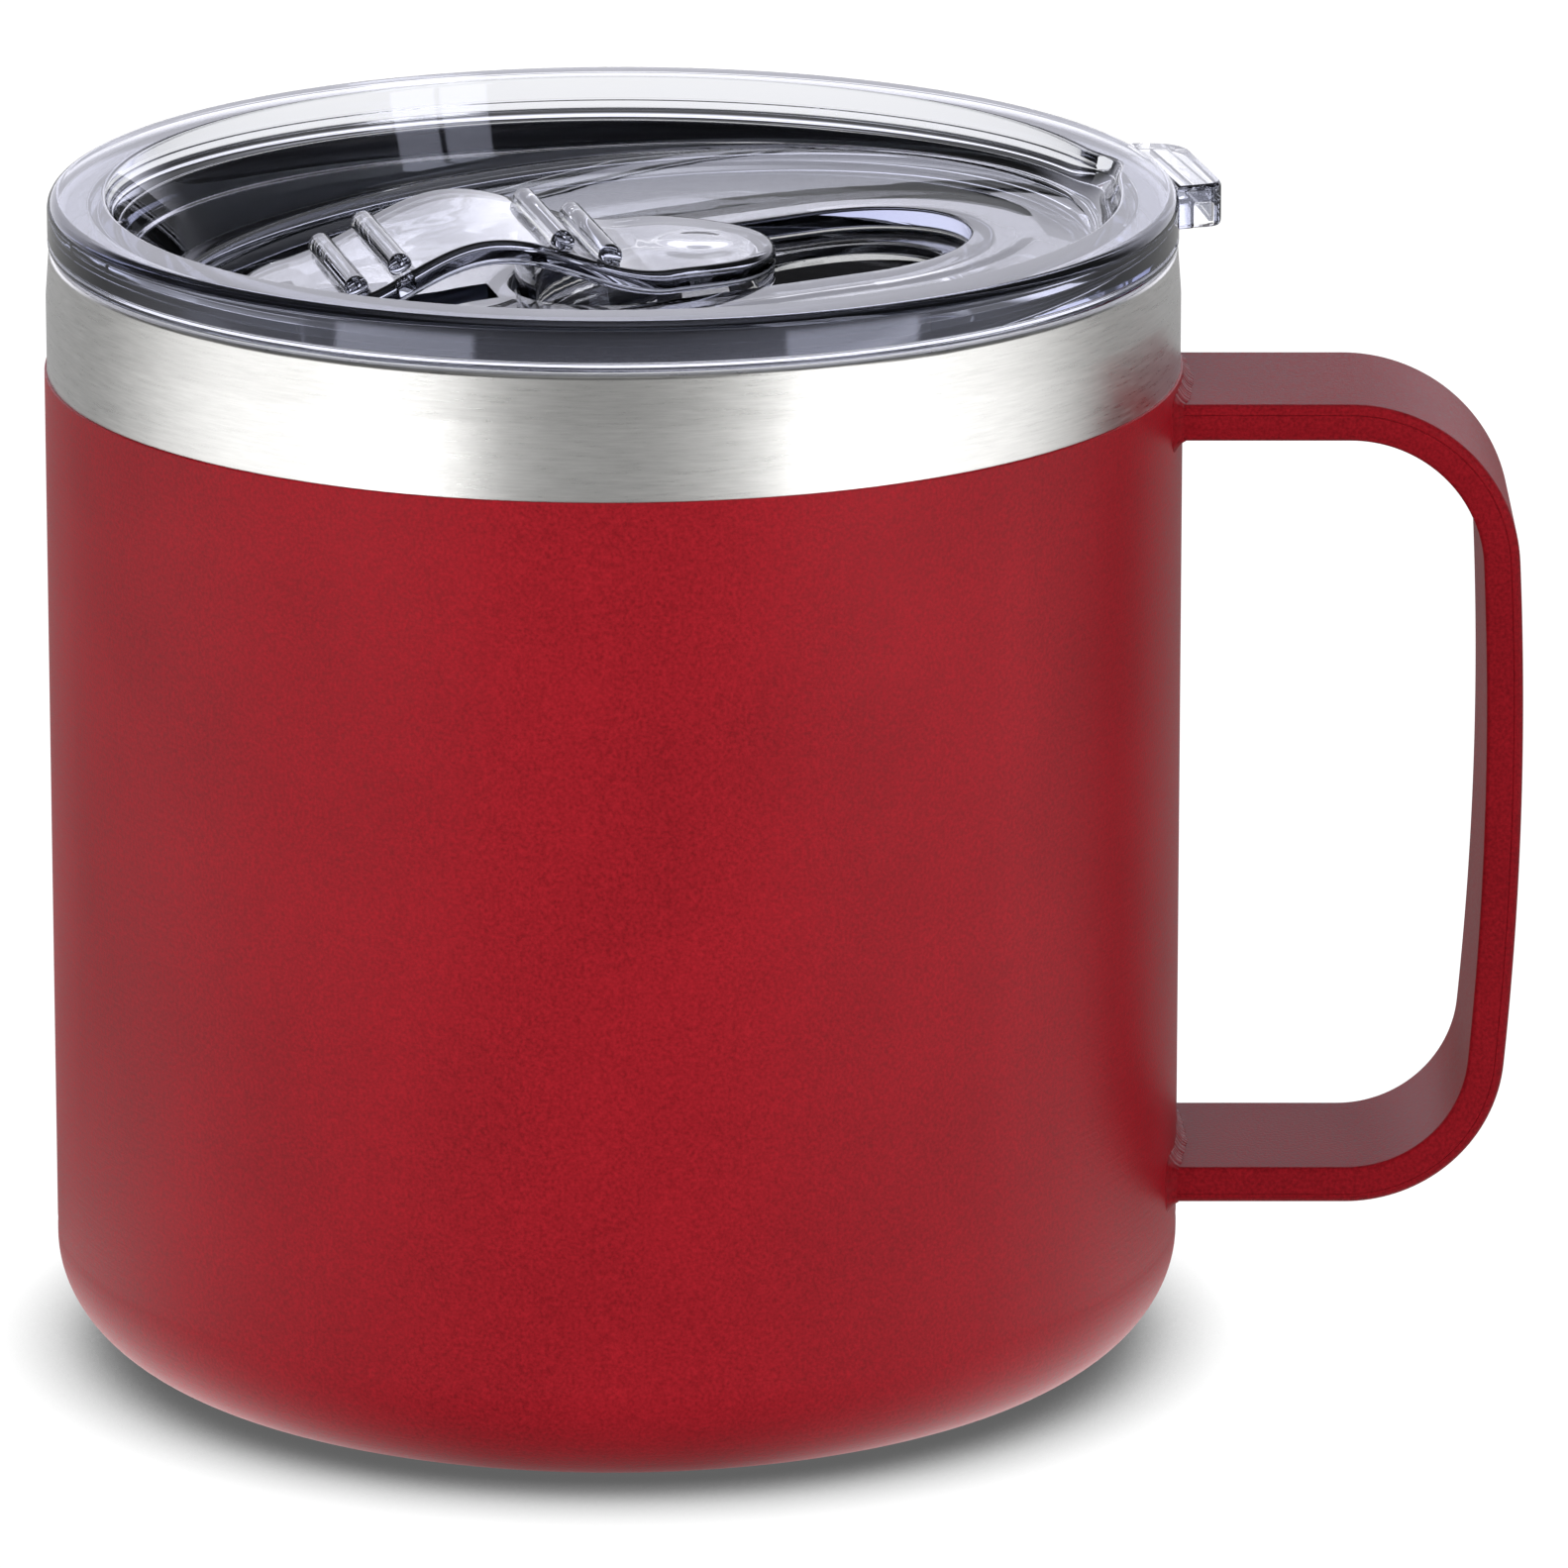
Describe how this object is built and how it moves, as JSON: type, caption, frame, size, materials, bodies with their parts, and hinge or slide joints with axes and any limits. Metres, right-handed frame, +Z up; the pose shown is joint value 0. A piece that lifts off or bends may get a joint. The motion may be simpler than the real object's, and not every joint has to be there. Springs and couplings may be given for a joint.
{
  "type": "insulated travel mug",
  "caption": "Double-walled steel travel mug with a powder-coated body, a strap handle and a clear press-in lid whose slider opens the drinking hole.",
  "frame": {"origin": "centre of the base, on the surface that the mug stands on", "axes": "+Z up along the mug's axis, +X towards the handle, +Y to the left of a viewer who looks along +X"},
  "size_m": [0.1208, 0.093, 0.0974],
  "materials": {
    "brushed_steel": "stainless steel, brushed around the mug",
    "liner_steel": "stainless steel, spun satin",
    "powder_coat": "dark red powder coat with a fine grain",
    "handle_coat": "dark red powder coat on sheet steel, fine grain",
    "solder_glass": "dull grey solder glass",
    "getter_metal": "sintered grey pellet",
    "foil": "thin bright foil",
    "clear_plastic": "clear copolyester with a slight blue tint, polished",
    "slider_plastic": "clear copolyester, polished",
    "clear_silicone": "translucent silicone"
  },
  "bodies": {
    "mug": {"outer_shell": "brushed_steel", "base_shell": "brushed_steel", "inner_liner": "liner_steel", "powder_coat": "powder_coat", "base_cover": "brushed_steel", "vacuum_seal": "solder_glass", "getter": "getter_metal", "getter_holder": "liner_steel", "foil_wrap": "foil", "handle_outer_strap": "handle_coat", "handle_inner_channel": "handle_coat", "handle_weld_top": "handle_coat", "handle_weld_bottom": "handle_coat"},
    "seal": {"lid_gasket": "clear_silicone"},
    "lid": {"lid_shell": "clear_plastic"},
    "slider": {"slider": "slider_plastic"}
  },
  "joints": [
    {"name": "lid_lift", "type": "slide", "parent": "mug", "child": "seal", "axis": [0, 0, 1], "range_m": [0, 0.05]},
    {"name": "lid_turn", "type": "hinge", "parent": "seal", "child": "lid", "pos_m": [0, 0, 0.0885], "axis": [0, 0, 1], "continuous": true},
    {"name": "slider_slide", "type": "slide", "parent": "lid", "child": "slider", "axis": [0.9707, 0.2241, 0.0872], "range_m": [0, 0.0158]}
  ]
}
